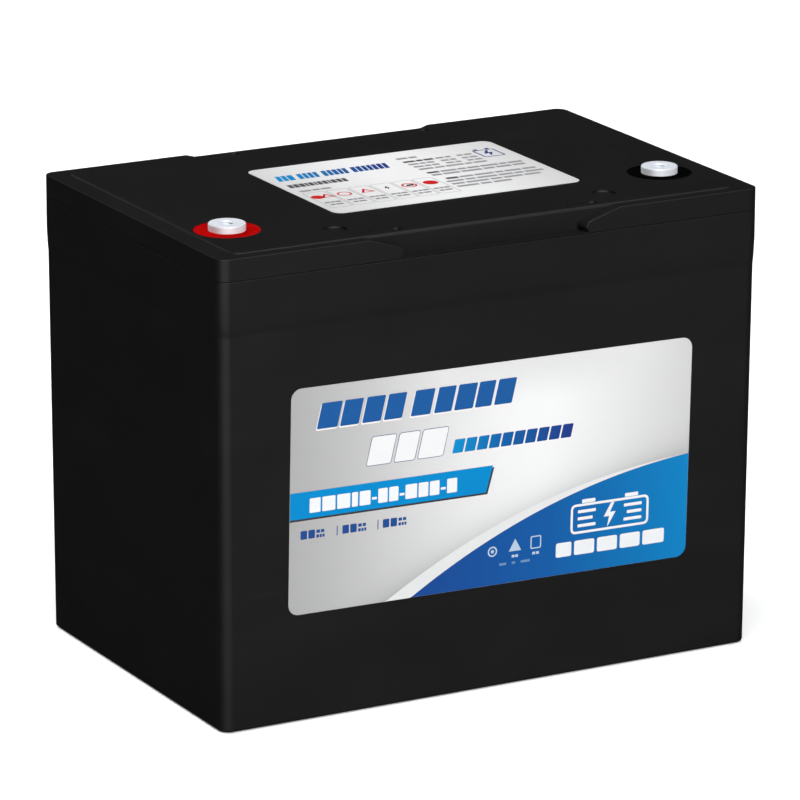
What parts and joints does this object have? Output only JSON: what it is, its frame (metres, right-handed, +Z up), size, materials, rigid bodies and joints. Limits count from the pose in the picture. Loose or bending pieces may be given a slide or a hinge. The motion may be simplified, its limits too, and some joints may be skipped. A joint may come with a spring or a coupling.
{
  "type": "deep cycle battery",
  "caption": "Sealed deep cycle battery: black box with a shallow lid, side recesses, two threaded terminals and printed labels, over plate packs and vent valves.",
  "frame": {"origin": "centre of the flat base, on the surface that the battery stands on", "axes": "+X along the long side towards the negative terminal, +Y from the front label towards the back, +Z up"},
  "size_m": [0.26, 0.168, 0.2087],
  "materials": {
    "case_plastic": "fine satin black moulding, ABS",
    "lid_plastic": "plain black moulding, ABS",
    "valve_rubber": "matt black",
    "label_film": "printed film, silver to white with blue",
    "tinned_brass": "bright tin plating",
    "lead": "cast lead",
    "positive_paste": "pasted lead dioxide on a lead grid",
    "negative_paste": "pasted sponge lead on a lead grid",
    "glass_mat": "white glass fibre mat, soaked with acid",
    "red_epoxy": "flush red epoxy",
    "black_epoxy": "flush black epoxy"
  },
  "bodies": {
    "battery": {"container": "case_plastic", "inner_lid": "lid_plastic", "top_cover": "case_plastic", "front_label": "label_film", "top_label": "label_film", "positive_terminal_insert": "tinned_brass", "positive_terminal_post": "lead", "positive_seal_ring": "red_epoxy", "positive_oring": "valve_rubber", "negative_terminal_insert": "tinned_brass", "negative_terminal_post": "lead", "negative_seal_ring": "black_epoxy", "negative_oring": "valve_rubber", "positive_plates_1": "positive_paste", "negative_plates_1": "negative_paste", "separator_1": "glass_mat", "positive_plates_2": "positive_paste", "negative_plates_2": "negative_paste", "separator_2": "glass_mat", "positive_plates_3": "positive_paste", "negative_plates_3": "negative_paste", "separator_3": "glass_mat", "positive_plates_4": "positive_paste", "negative_plates_4": "negative_paste", "separator_4": "glass_mat", "positive_plates_5": "positive_paste", "negative_plates_5": "negative_paste", "separator_5": "glass_mat", "positive_plates_6": "positive_paste", "negative_plates_6": "negative_paste", "separator_6": "glass_mat", "intercell_weld_1": "lead", "intercell_weld_2": "lead", "intercell_weld_3": "lead", "intercell_weld_4": "lead", "intercell_weld_5": "lead"},
    "valve_1": {"valve_cap_1": "valve_rubber"},
    "valve_2": {"valve_cap_2": "valve_rubber"},
    "valve_3": {"valve_cap_3": "valve_rubber"},
    "valve_4": {"valve_cap_4": "valve_rubber"},
    "valve_5": {"valve_cap_5": "valve_rubber"},
    "valve_6": {"valve_cap_6": "valve_rubber"}
  },
  "joints": [
    {"name": "valve_1_lift", "type": "slide", "parent": "battery", "child": "valve_1", "axis": [0, 0, 1], "range_m": [0, 0.0008], "stiffness_N_per_m": 900},
    {"name": "valve_2_lift", "type": "slide", "parent": "battery", "child": "valve_2", "axis": [0, 0, 1], "range_m": [0, 0.0008], "stiffness_N_per_m": 900},
    {"name": "valve_3_lift", "type": "slide", "parent": "battery", "child": "valve_3", "axis": [0, 0, 1], "range_m": [0, 0.0008], "stiffness_N_per_m": 900},
    {"name": "valve_4_lift", "type": "slide", "parent": "battery", "child": "valve_4", "axis": [0, 0, 1], "range_m": [0, 0.0008], "stiffness_N_per_m": 900},
    {"name": "valve_5_lift", "type": "slide", "parent": "battery", "child": "valve_5", "axis": [0, 0, 1], "range_m": [0, 0.0008], "stiffness_N_per_m": 900},
    {"name": "valve_6_lift", "type": "slide", "parent": "battery", "child": "valve_6", "axis": [0, 0, 1], "range_m": [0, 0.0008], "stiffness_N_per_m": 900}
  ]
}
